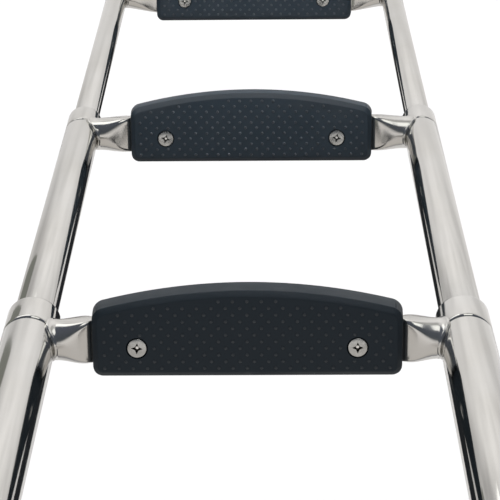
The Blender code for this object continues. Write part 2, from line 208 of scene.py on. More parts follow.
def add_object(name, data):
    """Puts a mesh, a lamp or a camera into the scene."""
    thing = bpy.data.objects.new(name, data)
    bpy.context.scene.collection.objects.link(thing)
    return thing


def as_object(shape, name):
    """Turns a shape into an object."""
    mesh = bpy.data.meshes.new(name)
    shape.to_mesh(mesh)
    shape.free()
    return add_object(name, mesh)


def carve(shape, tool, operation="DIFFERENCE"):
    """Runs a Boolean between two shapes and gives back the result."""
    pair = [as_object(part, "carving") for part in (shape, tool)]
    modifier = pair[0].modifiers.new("carve", "BOOLEAN")
    modifier.operation = operation
    modifier.solver = "EXACT"
    modifier.object = pair[1]
    result = bmesh.new()
    result.from_object(pair[0], bpy.context.evaluated_depsgraph_get())
    for part in pair:
        bpy.data.meshes.remove(part.data)
    bmesh.ops.remove_doubles(result, verts=result.verts, dist=TOUCH)
    bmesh.ops.dissolve_degenerate(result, edges=result.edges, dist=TOUCH)
    return result


# %% [markdown]
# A finished shape becomes an object that rides on a body of the frame and stands for one of
# its nodes. The pieces on the deck are kept out of mirror reflections, since they lie outside
# the picture and would put small dark shapes on the rails.


# %% From shape to piece
def keep(shape, place, node, body, finish, sharp=35.0, name=None):
    """Puts a shape in its place, on a body, as the object that stands for a CAD node."""
    piece = as_object(moved(shape, place), name or "fine_" + node)
    piece.data.materials.append(finish)
    piece.data.shade_smooth()
    piece.data.set_sharp_from_angle(angle=math.radians(sharp))
    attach(piece, body)
    if name is None:
        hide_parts(node)
    piece.visible_glossy = body != "mount"
    return piece


# %% [markdown]
# ## Finishes
#
# Every finish is a small node tree on Object coordinates, so its pattern stays on the piece
# when the ladder slides or swings. `add_node` adds a node whose inputs are numbers or outputs
# of other nodes, `new_finish` makes a plain Principled material, and `stretched_noise` is a
# noise drawn out along one direction, as drawing and polishing leave their marks on metal.


# %% Materials and noise
def set_inputs(node, values):
    """Gives a node's inputs their values, or links them to outputs of other nodes."""
    for name, value in values.items():
        if isinstance(value, bpy.types.NodeSocket):
            node.id_data.links.new(value, node.inputs[name])
        else:
            node.inputs[name].default_value = value


def add_node(tree, kind, values):
    """Adds a node with the inputs given, and gives back its first output."""
    node = tree.nodes.new("ShaderNode" + kind)
    set_inputs(node, values)
    return node.outputs[0]


def new_finish(slot, colour, metallic, roughness):
    """A Principled material that remembers its slot in the record."""
    material = bpy.data.materials.new("fine_" + slot)
    material["slot"] = slot
    material.use_nodes = True
    shader = material.node_tree.nodes["Principled BSDF"]
    colour = (*colour, 1)
    set_inputs(shader, {"Base Color": colour, "Metallic": metallic, "Roughness": roughness})
    return material, material.node_tree, shader


def stretched_noise(tree, scale, turn=(0, 0, 0), detail=3.0):
    """Noise on Object coordinates, with its own scale in each direction."""
    place = tree.nodes.new("ShaderNodeTexCoord").outputs["Object"]
    place = add_node(tree, "Mapping", {"Vector": place, "Rotation": turn})
    place = add_node(tree, "Mapping", {"Vector": place, "Scale": scale})
    return add_node(tree, "TexNoise", {"Vector": place, "Scale": 1.0, "Detail": detail})


# %% [markdown]
# A noise does its work in three ways: it varies the roughness, it mixes two close colours, and
# it lifts the surface a little. Most of a noise lies between 0.3 and 0.7, so that part of it
# is spread over the wanted range.

# %% What a noise drives
NOISE_LOW = 0.3
NOISE_HIGH = 0.7


def spread(tree, value, low, high):
    """Maps a noise to the range given."""
    ends = {"From Min": NOISE_LOW, "From Max": NOISE_HIGH, "To Min": low, "To Max": high}
    return add_node(tree, "MapRange", {"Value": value, **ends})


def toned(tree, value, tones):
    """A colour ramp through tones, each a position and a colour."""
    colour = add_node(tree, "ValToRGB", {"Fac": value})
    stops = colour.node.color_ramp.elements
    for i, (position, tone) in enumerate(tones):
        stop = stops[i] if i < 2 else stops.new(position)
        stop.position = position
        stop.color = (*tone, 1)
    return colour


def shades(tree, value, dark, light):
    """Mixes two colours by a noise."""
    return toned(tree, value, ((NOISE_LOW, dark), (NOISE_HIGH, light)))


def relief(tree, shader, value, strength, distance, below=None):
    """Adds a bump, on top of another one if given."""
    values = {"Height": value, "Strength": strength, "Distance": distance}
    if below is not None:
        values["Normal"] = below
    normal = add_node(tree, "Bump", values)
    set_inputs(shader, {"Normal": normal})
    return normal


# %% [markdown]
# ### Polished stainless steel
#
# The rails, collars, rungs and brackets are mirror polished, but tube that was drawn through a
# die and then buffed keeps faint lines along its length, its reflections waver a little, and
# handling leaves a soft haze. Three noises give these, two of them drawn out along the rail.
# The rungs get their own copy with the lines along X.


# %% Steel finishes
def polished_steel(along, along_scale, across_scale, turn, gloss):
    """Mirror steel with fine lines along one axis, slow waves and a haze."""
    slot = "polished_stainless"
    material, tree, shader = new_finish(slot, (0.66, 0.65, 0.63), 1.0, gloss[0])
    fine = [across_scale] * 3
    fine[along] = along_scale
    wide = [scale * 0.12 for scale in fine]
    lines = stretched_noise(tree, fine, turn)
    waves = stretched_noise(tree, wide, turn, detail=1.0)
    haze = stretched_noise(tree, (22, 22, 22), detail=4.0)
    tone = shades(tree, haze, (0.64, 0.63, 0.605), (0.69, 0.685, 0.67))
    set_inputs(shader, {"Roughness": spread(tree, haze, *gloss), "Base Color": tone})
    ripple = relief(tree, shader, waves, 0.25, 0.06 * MM)
    relief(tree, shader, lines, 0.10, 0.01 * MM, ripple)
    return material


steel = polished_steel(Z, 6, 900, (LEAN, 0, 0), (0.06, 0.13))
rung_steel = polished_steel(X, 12, 700, (0, 0, 0), (0.13, 0.20))
print("steel finishes:", steel.name, rung_steel.name)

# %% [markdown]
# ### Fasteners
#
# Screws, nuts and bolts are cold formed and tumbled, so they are duller and a little darker
# than the polished tube, with small marks in every direction. The walls of a screw's recess
# get a dark copy of the finish, which is painted shade. Its bottom gets a bright copy, which
# is a painted highlight.


# %% Fastener finishes
def formed_steel(dark, light, rough):
    """Tumbled steel of two close tones."""
    material, tree, shader = new_finish("fastener_stainless", light, 1.0, rough)
    marks = stretched_noise(tree, (900, 900, 900), detail=4.0)
    stains = stretched_noise(tree, (260, 260, 260), detail=2.0)
    sheen = spread(tree, marks, rough - 0.06, rough + 0.12)
    set_inputs(shader, {"Roughness": sheen, "Base Color": shades(tree, stains, dark, light)})
    relief(tree, shader, marks, 0.2, 0.03 * MM)
    return material


fastener = formed_steel((0.48, 0.485, 0.475), (0.60, 0.605, 0.595), 0.22)
# The recess walls' dark copy of the finish is painted shade.
recess_painted_shade = formed_steel((0.05, 0.05, 0.045), (0.09, 0.09, 0.08), 0.4)
# The recess bottom's bright copy of the finish is a painted highlight.
painted_highlight_bottom = formed_steel((0.86, 0.86, 0.84), (0.95, 0.95, 0.93), 0.16)
print("fastener finishes:", fastener.name, recess_painted_shade.name, painted_highlight_bottom.name)

# %% [markdown]
# ### Moulded plastic
#
# The treads are a blue-black moulding with a fine spark-eroded grain, so they are matt. One
# noise of about half a millimetre is the grain, and a much coarser one is the slow change in
# sheen of a big moulding. The grip dots are a little smoother than the face, and their paler
# tone is a painted sheen. The caps use the same recipe without the blue, and nylon lets some
# light in.


# %% Plastic finishes
def moulded(slot, dark, light, rough, grain_scale, grain_depth):
    """Plastic with a fine grain and a slow change in tone and sheen."""
    material, tree, shader = new_finish(slot, light, 0.0, rough)
    grain = stretched_noise(tree, (grain_scale,) * 3, detail=2.0)
    flow = stretched_noise(tree, (grain_scale * 0.02,) * 3, detail=2.0)
    sheen = spread(tree, flow, rough - 0.06, rough + 0.06)
    set_inputs(shader, {"Roughness": sheen, "Base Color": shades(tree, flow, dark, light)})
    relief(tree, shader, grain, 0.5, grain_depth)
    return material


tread_tones = ((0.0045, 0.0085, 0.0125), (0.0060, 0.0100, 0.0140))
# The dots' paler tones are a painted sheen.
dot_painted_sheen_tones = ((0.011, 0.0145, 0.018), (0.013, 0.0165, 0.020))
cap_tones = ((0.010, 0.010, 0.011), (0.014, 0.014, 0.015))
nylon_tones = ((0.68, 0.66, 0.60), (0.76, 0.745, 0.70))
tread_black = moulded("black_moulding", *tread_tones, 0.55, 2200, 0.08 * MM)
# The dots are smoother, and painted paler as a painted sheen.
dot_black_painted_sheen = moulded("black_moulding", *dot_painted_sheen_tones, 0.45, 900, 0.02 * MM)
cap_black = moulded("black_cap", *cap_tones, 0.42, 1400, 0.04 * MM)
nylon = moulded("white_nylon", *nylon_tones, 0.45, 900, 0.04 * MM)
set_inputs(tread_black.node_tree.nodes["Principled BSDF"], {"Specular IOR Level": 0.3})
glow_depth = {"Subsurface Weight": 0.15, "Subsurface Radius": (2 * MM, 2 * MM, 1.6 * MM)}
set_inputs(nylon.node_tree.nodes["Principled BSDF"], glow_depth)
print("plastic finishes:", tread_black.name, dot_black_painted_sheen.name, cap_black.name, nylon.name)

# %% [markdown]
# ## Rail tubes
#
# Each rail is three tubes, one inside the other. A tube is a spun ring section. Its lower edge
# is rounded, because there it meets the collar in a narrow groove that shows as a bright and a
# dark line. The upper tubes are drilled across for the pivot bolts.

# %% Rail tubes
TUBE_STEPS = 128
GROOVE = 0.5 * MM
GROOVE_OPEN = 1.2 * MM
END_BREAK = 0.25 * MM
SPIGOT = 30 * MM
TOP_OVERHANG = 18 * MM
LOWER_TAIL = 25 * MM
BOLT_R = 4 * MM
DRILL = 60 * MM


def pipe(inner_r, outer_r, top, bottom, steps):
    profile = [(inner_r, top), (outer_r, top), (outer_r, bottom), (inner_r, bottom)]
    return turned(profile, steps)


def rail_tube(radius, bottom, top, groove):
    """An upright tube whose lower edge is rounded to the groove's width."""
    shape = pipe(radius - WALL, radius, top, bottom, TUBE_STEPS)
    round_edges(shape, ring_edges(shape, radius, bottom), groove, 4)
    return round_edges(shape, ring_edges(shape, radius, top), END_BREAK)


for side_name, side in SIDES:
    upper = rail_tube(RADIUS["upper"], GROOVE_OPEN - REACH["upper"], TOP_OVERHANG, GROOVE)
    upper = carve(upper, moved(rod(BOLT_R + GAP, DRILL), Matrix.Rotation(math.pi / 2, 4, "Y")))
    middle = rail_tube(RADIUS["middle"], GROOVE_OPEN, PITCH["middle"] + SPIGOT, GROOVE)
    lower = rail_tube(RADIUS["lower"], -LOWER_TAIL, PITCH["lower"] + SPIGOT, END_BREAK)
    origins = (0, REACH["middle"], REACH["lower"])
    for section, shape, reach in zip(SECTIONS, (upper, middle, lower), origins):
        name = f"{side_name}_{section}_tube"
        keep(shape, rail_place(side, reach), name, section + "_section", steel)
print("rail tubes:", len(SIDES) * len(SECTIONS))

# %% [markdown]
# ## Collars
#
# A collar ends each outer tube: a ring of the tube's own diameter, with a spigot inside the
# tube and a well rounded mouth from which the next tube comes out. One spun profile gives the
# ring, the spigot and the eased rim at the seam, which is a quarter of an ellipse. Two bevels
# then round the mouth and break its inner edge.

# %% Collars
COLLAR_LENGTH = 23.5 * MM
SPIGOT_WALL = 1.375 * MM
RIM_IN = 1.4 * MM
RIM_DOWN = 2.6 * MM
MOUTH_ROUND = 2.4 * MM
MOUTH_BREAK = 0.3 * MM


def collar(radius):
    """A collar whose seam with its tube is at z = 0."""
    spigot_r = radius - WALL - GAP
    bore = spigot_r - SPIGOT_WALL
    top = -GAP / 2
    mouth = -COLLAR_LENGTH
    rim = [(radius - RIM_IN + x, z) for x, z in dome(RIM_IN, top - RIM_DOWN, RIM_DOWN, 10)]
    profile = [(bore, SPIGOT), (spigot_r, SPIGOT), (spigot_r, top), *rim]
    shape = turned(profile + [(radius, mouth), (bore, mouth)], TUBE_STEPS)
    round_edges(shape, ring_edges(shape, radius, mouth), MOUTH_ROUND, 8)
    return round_edges(shape, ring_edges(shape, bore, mouth), MOUTH_BREAK)


outer_sections = SECTIONS[:2]
for section in outer_sections:
    for side_name, side in SIDES:
        name = f"{side_name}_{section}_collar"
        place = rail_place(side, REACH[section])
        keep(collar(RADIUS[section]), place, name, section + "_section", steel)
print("collars:", len(outer_sections) * len(SIDES))

# %% [markdown]
# ## Bushes, caps and plugs
#
# A nylon bush rides on the hidden upper end of each inner tube and guides it in the outer one.
# Its head has a shallow waist, so that it slides on two narrow bands.

# %% Bushes
BUSH_HEAD = 14.3 * MM
BUSH_TAIL = -15 * MM
BUSH_WALL = 3 * MM
WAIST_DEPTH = 0.5 * MM
WAIST = (9 * MM, 8.5 * MM, 5.8 * MM, 5.3 * MM)


def bush(outer_r, inner_r):
    """A head that fits the outer tube, on a spigot in the inner tube's end at z = 0."""
    head_r = outer_r - WALL - GAP
    waist_r = head_r - WAIST_DEPTH
    spigot_r = inner_r - WALL - GAP
    bore = spigot_r - BUSH_WALL
    profile = [(bore, BUSH_HEAD), (head_r, BUSH_HEAD)]
    profile += zip((head_r, waist_r, waist_r, head_r), WAIST)
    profile += [(head_r, GAP), (spigot_r, GAP), (spigot_r, BUSH_TAIL), (bore, BUSH_TAIL)]
    return soften(turned(profile, 64), 0.3 * MM, 2, 40)


print("bush head:", round(BUSH_HEAD / MM, 1), "mm long")

# %% [markdown]
# Black caps close the tops of the rails, and black plugs close their feet. Both are one turned
# shape with the edge rounds of a moulding. The plugs have two shallow grip grooves.

# %% Caps and plugs, and bushes in place
GRIP = 0.5 * MM
GRIP_DEPTH = 0.4 * MM


def stopper(radius, crown, skirt, spigot, grooves=()):
    """A plug for a tube end at z = 0: a crowned head outside and a spigot inside."""
    spigot_r = radius - WALL - GAP
    profile = dome(radius, GAP + skirt, crown - skirt)
    for height in grooves:
        profile += [(radius, height + GRIP), (radius - GRIP_DEPTH, height), (radius, height - GRIP)]
    profile += [(radius, GAP), (spigot_r, GAP), (spigot_r, -spigot), (0, -spigot)]
    return soften(turned(profile, 96), 0.2 * MM, 2, 50)


GUIDES = (("middle", "upper"), ("lower", "middle"))
for side_name, side in SIDES:
    for section, outer in GUIDES:
        shape = bush(RADIUS[outer], RADIUS[section])
        place = rail_place(side, REACH[section] - PITCH[section] - SPIGOT)
        keep(shape, place, f"{side_name}_{section}_bush", section + "_section", nylon)
    cap = stopper(RADIUS["upper"], 3 * MM, 0.8 * MM, 8 * MM)
    head = rail_place(side, -TOP_OVERHANG)
    keep(cap, head, side_name + "_top_cap", "upper_section", cap_black)
    plug = stopper(RADIUS["lower"], 6 * MM, 3.4 * MM, 15 * MM, (2.7 * MM, 1.4 * MM))
    foot = rail_place(side, REACH["lower"] + LOWER_TAIL) @ Matrix.Rotation(math.pi, 4, "X")
    keep(plug, foot, side_name + "_end_plug", "lower_section", cap_black)
print("bushes, caps and plugs:", (len(GUIDES) + 2) * len(SIDES))

# %% [markdown]
# ## Rungs
#
# A rung is a round tube that was pressed flat where the tread sits on it, then cut to fit the
# rails and welded to them. It starts here as a ring of edges that is extruded along X. Each
# ring is then pressed to its own width and thickness. The tube swells steeply right beside the
# tread, so its polished side mirrors the tread's dark end.

# %% Rung sections
TREAD_HALF = 89 * MM
FLAT_WIDTH = 26.2 * MM
FLAT_THICKNESS = 11 * MM
FLAT_CORNER = 3 * MM
FLAT_END = TREAD_HALF + 1 * MM
FLAT_SHARE = 0.32
SWELL_POWER = 3


def pressed(vert, width, thickness, corner):
    """Moves a point of a unit circle onto a pressed section with round corners."""
    for axis, size in ((Y, width), (Z, thickness)):
        share = max(-1.0, min(1.0, vert.co[axis] / FLAT_SHARE))
        eased = share * (3 - share * share) / 2
        vert.co[axis] = corner * vert.co[axis] + eased * (size / 2 - corner)


def press_ring(ring, end_d, share):
    """Presses a ring to its section, from flat at a share of 0 to round at 1."""
    eased = share * share * (3 - 2 * share)
    swell = 1 - (1 - share) ** SWELL_POWER
    width = FLAT_WIDTH + (end_d - FLAT_WIDTH) * share
    thickness = FLAT_THICKNESS + (end_d - FLAT_THICKNESS) * swell
    corner = FLAT_CORNER + (end_d / 2 - FLAT_CORNER) * eased
    for vert in ring:
        pressed(vert, width, thickness, corner)


print("rung flat:", round(FLAT_WIDTH / MM, 1), "by", round(FLAT_THICKNESS / MM, 1), "mm")

# %% [markdown]
# The rings come from one circle of edges. The last ones wrap round the rail and swell to a
# small weld bead.

# %% Rung rings
RUNG_SIDES = 72


def only(kind, items):
    """The points or the edges among what an operator gives back."""
    return [item for item in items if isinstance(item, kind)]


def rung_rings(shape, count):
    """Extrudes a unit circle into rings of points."""
    turn = Matrix.Rotation(math.pi / 2, 4, "Y")
    bmesh.ops.create_circle(shape, cap_ends=False, radius=1.0, segments=RUNG_SIDES, matrix=turn)
    rings = [list(shape.verts)]
    lines = list(shape.edges)
    while len(rings) < count:
        grown = bmesh.ops.extrude_edge_only(shape, edges=lines)["geom"]
        rings.append(only(bmesh.types.BMVert, grown))
        lines = only(bmesh.types.BMEdge, grown)
    return rings


def weld_ring(ring, rail_r, away, height):
    """Wraps a ring about the rail and lifts it by the bead's height."""
    for vert in ring:
        across = vert.co.y * math.cos(LEAN) - vert.co.z * math.sin(LEAN)
        swell = 1 + height / math.hypot(vert.co.y, vert.co.z)
        vert.co.x = RAIL_X - math.sqrt(rail_r**2 - across**2) - away
        vert.co.y *= swell
        vert.co.z *= swell


# %% [markdown]
# Only one half is made, and a mirror gives the other. The ends are hidden by the rails, so they
# are simply filled.

# %% Rungs
RUNG_D = 24 * MM
RUNG_INSET = 0.5 * MM
ROUND_RUN = 2 * MM
SWELL_RINGS = 14
SWELL_SPACING = 1.6
BEAD_AWAY_MM = (2.2, 2.0, 1.7, 1.2, 0.7, 0.3, 0.0, -0.4)
BEAD_HEIGHT_MM = (0.0, 0.3, 0.55, 0.75, 0.7, 0.5, 0.15, -0.4)


def rung(rail_r):
    end_d = min(RUNG_D, 2 * (rail_r - RUNG_INSET))
    run = RAIL_X - rail_r - ROUND_RUN - FLAT_END
    shares = [(i / SWELL_RINGS) ** SWELL_SPACING for i in range(SWELL_RINGS + 1)]
    stations = [(0.0, 0.0), (FLAT_END / 2, 0.0), (FLAT_END - 3 * MM, 0.0)]
    stations += [(FLAT_END + run * share, share) for share in shares]
    shape = bmesh.new()
    rings = rung_rings(shape, len(stations) + len(BEAD_AWAY_MM))
    for ring, (x, share) in zip(rings, stations):
        press_ring(ring, end_d, share)
        bmesh.ops.translate(shape, verts=ring, vec=(x, 0, 0))
    for ring, away, height in zip(rings[len(stations) :], BEAD_AWAY_MM, BEAD_HEIGHT_MM):
        press_ring(ring, end_d, 1.0)
        weld_ring(ring, rail_r, away * MM, height * MM)
    half = shape.verts[:] + shape.edges[:] + shape.faces[:]
    bmesh.ops.mirror(shape, geom=half, axis="X", merge_dist=TOUCH)
    bmesh.ops.remove_doubles(shape, verts=shape.verts, dist=TOUCH)
    ends = bmesh.ops.holes_fill(shape, edges=shape.edges[:], sides=0)["faces"]
    bmesh.ops.triangulate(shape, faces=ends)
    bmesh.ops.recalc_face_normals(shape, faces=shape.faces)
    return shape


for section in SECTIONS:
    shape = rung(RADIUS[section])
    length = 2 * max(vert.co.x for vert in shape.verts)
    print(section, "rung:", round(length / MM, 1), "mm long,", len(shape.faces), "faces")
    keep(shape, step_place(section), section + "_rung", section + "_section", rung_steel, 60)

# %% [markdown]
# ## Treads
#
# A tread is one moulding. Seen from above it is a strip with rounded corners and an arched
# front; a wide chamfer runs all round its top. It starts from one flat face: the corners are
# rounded with a vertex bevel, the front edge is cut into short pieces and bowed, and the face
# is extruded to its height. The ends get the slight slope that frees a moulding from its mould.

# %% Tread body
TREAD_END = TREAD_HALF + 0.5 * MM
TREAD_TOP = 10 * MM
TREAD_BOTTOM = -11 * MM
TREAD_BACK = 20.1 * MM
TREAD_FRONT = -19.35 * MM
TREAD_ARCH = 12 * MM
TREAD_CORNER = 6 * MM
TREAD_CHAMFER = 3.3 * MM
TREAD_EDGE = 0.45 * MM
DRAFT = 1.4 * MM


def runs_across(edge, axis):
    """True where both ends of an edge are level along an axis."""
    first, second = edge.verts
    return abs(first.co[axis] - second.co[axis]) < TOUCH


def bow(verts, half):
    """Bows points outboard, most in the middle of the tread."""
    for vert in verts:
        vert.co.y -= TREAD_ARCH * (1 - (vert.co.x / half) ** 2)


def thicken(shape, way):
    """Extrudes a flat face into a solid."""
    grown = bmesh.ops.extrude_face_region(shape, geom=shape.faces[:])["geom"]
    bmesh.ops.translate(shape, verts=only(bmesh.types.BMVert, grown), vec=way)
    bmesh.ops.recalc_face_normals(shape, faces=shape.faces)


def tread_body():
    shape = bmesh.new()
    corners = [(-TREAD_END, TREAD_FRONT), (TREAD_END, TREAD_FRONT)]
    corners += [(TREAD_END, TREAD_BACK), (-TREAD_END, TREAD_BACK)]
    plan = shape.faces.new([shape.verts.new((x, y, TREAD_BOTTOM)) for x, y in corners])
    round_edges(shape, list(plan.verts), TREAD_CORNER, 8, "VERTICES")
    bmesh.ops.subdivide_edges(shape, edges=edges_at(shape, Y, TREAD_FRONT), cuts=40)
    bow([v for v in shape.verts if v.co.y < 0], TREAD_END)
    thicken(shape, (0, 0, TREAD_TOP - TREAD_BOTTOM))
    for vert in shape.verts:
        if abs(vert.co.z - TREAD_BOTTOM) < TOUCH:
            vert.co.x *= 1 + DRAFT / TREAD_HALF
    round_edges(shape, edges_at(shape, Z, TREAD_TOP), TREAD_CHAMFER, 1)
    sharp = [e for e in shape.edges if e.calc_face_angle() > math.radians(30) and runs_across(e, Z)]
    return round_edges(shape, sharp, TREAD_EDGE, 3)


tread = tread_body()
print("tread body:", len(tread.faces), "faces")

# %% [markdown]
# Booleans take out the channel for the rung and the pockets between the ribs under the nose.
# The pockets are bowed like the front, so that the skirt round them has one thickness.

# %% Tread hollows
CHANNEL_HALF = 14.05 * MM
CHANNEL_TOP = 5.8 * MM
CHANNEL_ROUND = 4.5 * MM
SKIRT = 3.2 * MM
RIB = 2.5 * MM
POCKETS = 4
HOLLOW = CHANNEL_TOP - TREAD_BOTTOM + 10 * MM
HOLLOW_Z = CHANNEL_TOP - HOLLOW / 2


def rung_channel():
    channel = block((3 * TREAD_HALF, 2 * CHANNEL_HALF, HOLLOW), (0, 0, HOLLOW_Z))
    shoulders = [e for e in edges_at(channel, Z, CHANNEL_TOP) if runs_across(e, Y)]
    return round_edges(channel, shoulders, CHANNEL_ROUND, 6)


def nose_pocket(middle, width):
    back = -CHANNEL_HALF - RIB
    front = TREAD_FRONT + SKIRT
    pocket = block((width, MM, HOLLOW), (middle, back - MM / 2, HOLLOW_Z))
    lines = [e for e in pocket.edges if not runs_across(e, X)]
    bmesh.ops.subdivide_edges(pocket, edges=lines, cuts=7, use_grid_fill=True)
    outer = [v for v in pocket.verts if v.co.y < back - MM / 2]
    bmesh.ops.translate(pocket, verts=outer, vec=(0, front - back + MM, 0))
    bow(outer, TREAD_HALF)
    return pocket


tread = carve(tread, rung_channel())
inside = TREAD_HALF - TREAD_CORNER
pitch = (2 * inside + RIB) / POCKETS
for i in range(POCKETS):
    tread = carve(tread, nose_pocket(-inside + (i + 0.5) * pitch - RIB / 2, pitch - RIB))
print("tread with channel and", POCKETS, "pockets:", len(tread.faces), "faces")

# %% [markdown]
# A countersunk screw hole is one turned shape: a straight mouth a little wider than the
# screw's head, a cone and a bore.

# %% Screw holes
SCREW_X = 63.5 * MM
SCREW_Y = 2.4 * MM
HEAD_R = 5.65 * MM
HEAD_ROOM = 0.7 * MM
HOLE_R = 3.4 * MM
SINK_TOP = 2 * MM
SINK_SEAT = -1.2 * MM
HOLE_END = -25 * MM


def countersink():
    head = HEAD_R + HEAD_ROOM
    profile = [(0, SINK_TOP), (head, SINK_TOP), (head, SINK_SEAT)]
    profile += [(HOLE_R, HOLE_R - head + SINK_SEAT), (HOLE_R, HOLE_END), (0, HOLE_END)]
    return turned(profile, 48)


for _, side in SIDES:
    hole = Matrix.Translation((side * SCREW_X, SCREW_Y, TREAD_TOP))
    tread = carve(tread, moved(countersink(), hole))
print("tread with screw holes:", len(tread.faces), "faces")

# %% [markdown]
# ### Grip dots
#
# The top face carries rows of small raised dots, each row shifted by half a pitch, with one
# row through the screws. They are low domes: a flattened ball of few faces, sunk to its middle
# in the face. A dot is left out where the screw heads sit and where the face ends.

# %% Grip dots
DOT_ACROSS = 8.23 * MM
DOT_ROW = 4.0 * MM
DOT_R = 1.05 * MM
DOT_HEIGHT = 0.5 * MM
DOT_CLEAR = HEAD_R + 1.75 * MM
FACE_INSET = TREAD_CHAMFER + 1.8 * MM


def on_face(x, y):
    """True where a dot fits on the tread's flat top."""
    front = TREAD_FRONT - TREAD_ARCH * (1 - (x / TREAD_HALF) ** 2)
    clear = math.hypot(abs(x) - SCREW_X, y - SCREW_Y) > DOT_CLEAR
    in_length = abs(x) < TREAD_HALF - FACE_INSET
    return clear and in_length and front + FACE_INSET < y < TREAD_BACK - FACE_INSET


def add_dot(shape, x, y):
    place = Matrix.Translation((x, y, TREAD_TOP)) @ Matrix.Diagonal((DOT_R, DOT_R, DOT_HEIGHT, 1))
    ball = bmesh.ops.create_uvsphere(shape, u_segments=10, v_segments=6, radius=1.0, matrix=place)
    # The dots take the second finish, with its painted sheen.
    for face in {face for vert in ball["verts"] for face in vert.link_faces}:
        face.material_index = 1


dots = []
for row in range(-12, 6):
    for column in range(-12, 13):
        spot = ((column + 0.5 * ((row + 1) % 2)) * DOT_ACROSS, row * DOT_ROW + SCREW_Y)
        if on_face(*spot):
            dots.append(spot)
for x, y in dots:
    add_dot(tread, x, y)
print("tread with", len(dots), "dots:", len(tread.faces), "faces")

# %% [markdown]
# The same tread serves all three steps. Its dots take the second finish, whose paler tone is a
# painted sheen.

# %% Treads in place
for section in SECTIONS:
    name = section + "_tread"
    piece = keep(tread.copy(), step_place(section), name, section + "_section", tread_black, 28)
    # The dots' paler finish is a painted sheen.
    piece.data.materials.append(dot_black_painted_sheen)
tread.free()
print("treads:", len(SECTIONS))

# %% [markdown]
# ## Screws and nuts
#
# Each tread is held by two countersunk machine screws with a cross recess. The head is turned
# with a slightly rounded face. The recess is cut by two four-sided cones that are squashed to
# thin wings, and by a small round cone in their middle. The shank has ridges in place of a
# true helix, since only its tip shows under the nut.

# %% Tread screw
SCREW_R = 3 * MM
SCREW_LENGTH = 21.5 * MM
RIDGE_START = -5 * MM
HEAD_FACE_MM = ((0, 0.3), (2.4, 0.26), (4.6, 0.1), (5.4, -0.08))
HEAD_RIM = (-0.35 * MM, -0.6 * MM)
WINGS = (1.9 * MM, 1.7 * MM, 4, 3.6 * MM)
WINGS_Z = -0.45 * MM
WING_SQUASH = 0.42
CENTRE = (0.85 * MM, 2 * MM, 16, 1.3 * MM)
CENTRE_Z = -0.6 * MM
RECESS_R = 3.65 * MM
RECESS_Z = (-3 * MM, -0.1 * MM)
# Recess faces below this depth take the painted highlight.
PAINTED_HIGHLIGHT_Z = -1.5 * MM


def ridged(radius, start, end, pitch):
    """The profile of a threaded stretch, from start down to end, as rings."""
    count = int((start - end) / pitch)
    points = []
    for i in range(count):
        points += [(radius, start - i * pitch), (radius - 0.3 * MM, start - (i + 0.5) * pitch)]
    return points + [(radius, start - count * pitch), (radius - 0.5 * MM, end)]


def tread_screw():
    """A screw about Z whose head sits in the tread's face at z = 0."""
    profile = [(r * MM, z * MM) for r, z in HEAD_FACE_MM] + [(HEAD_R, z) for z in HEAD_RIM]
    profile += [(SCREW_R, SCREW_R - HEAD_R + HEAD_RIM[-1]), (SCREW_R, RIDGE_START + 0.4 * MM)]
    profile += ridged(SCREW_R, RIDGE_START, -SCREW_LENGTH, 1 * MM) + [(0, -SCREW_LENGTH)]
    shape = turned(profile, 48)
    for turn in (0, math.pi / 2):
        place = Matrix.Translation((0, 0, WINGS_Z)) @ Matrix.Rotation(turn, 4, "Z")
        place = place @ Matrix.Diagonal((1, WING_SQUASH, 1, 1))
        shape = carve(shape, moved(rod(*WINGS), place))
    return carve(shape, moved(rod(*CENTRE), Matrix.Translation((0, 0, CENTRE_Z))))


def paint_recess(shape):
    """Gives the recess's walls the second finish, painted shade, and its bottom the third, a
    painted highlight.
    """
    for face in shape.faces:
        middle = face.calc_center_median()
        out = Vector((middle.x, middle.y, 0))
        in_head = RECESS_Z[0] < middle.z < RECESS_Z[1] and out.length < RECESS_R
        if in_head and face.normal.dot(out) < TOUCH:
            # Walls take the painted shade, and the flat bottom the painted highlight.
            is_bottom = face.normal.z > 0.9 and middle.z < PAINTED_HIGHLIGHT_Z
            face.material_index = 2 if is_bottom else 1
    return shape


screw = paint_recess(tread_screw())
print("screw:", len(screw.faces), "faces")

# %% [markdown]
# A nut is a hexagon cut by a turned double cone, which leaves the curved corners of a real
# nut. Its bore is countersunk at both ends. Each screw is turned as its driver left it, a
# little differently at every step.

# %% Nuts, and screws in place
NUT_TOP = -5.8 * MM
NUT_FACE = 0.47
BORE_SINK = 0.5 * MM
CLEAR = 1 * MM
SCREW_TURN = {"upper": (0.0, -0.06), "middle": (-0.19, -0.26), "lower": (0.04, -0.02)}


def hex_nut(flats, height, bore_r):
    """A hexagon nut about Z with its upper face at z = 0."""
    corner = flats / math.sqrt(3)
    hexagon = moved(rod(corner, height, 6), Matrix.Translation((0, 0, -height / 2)))
    face = flats * NUT_FACE
    wide = corner + 0.01 * MM
    fall = (corner - face) * math.tan(math.radians(30))
    cone = [(0, 0), (face, 0), (wide, -fall), (wide, fall - height), (face, -height), (0, -height)]
    shape = carve(hexagon, turned(cone, 48), "INTERSECT")
    flare = bore_r + BORE_SINK + CLEAR
    bore = [(0, CLEAR), (flare, CLEAR), (bore_r, -BORE_SINK), (bore_r, BORE_SINK - height)]
    bore += [(flare, -CLEAR - height), (0, -CLEAR - height)]
    return carve(shape, turned(bore, 32))


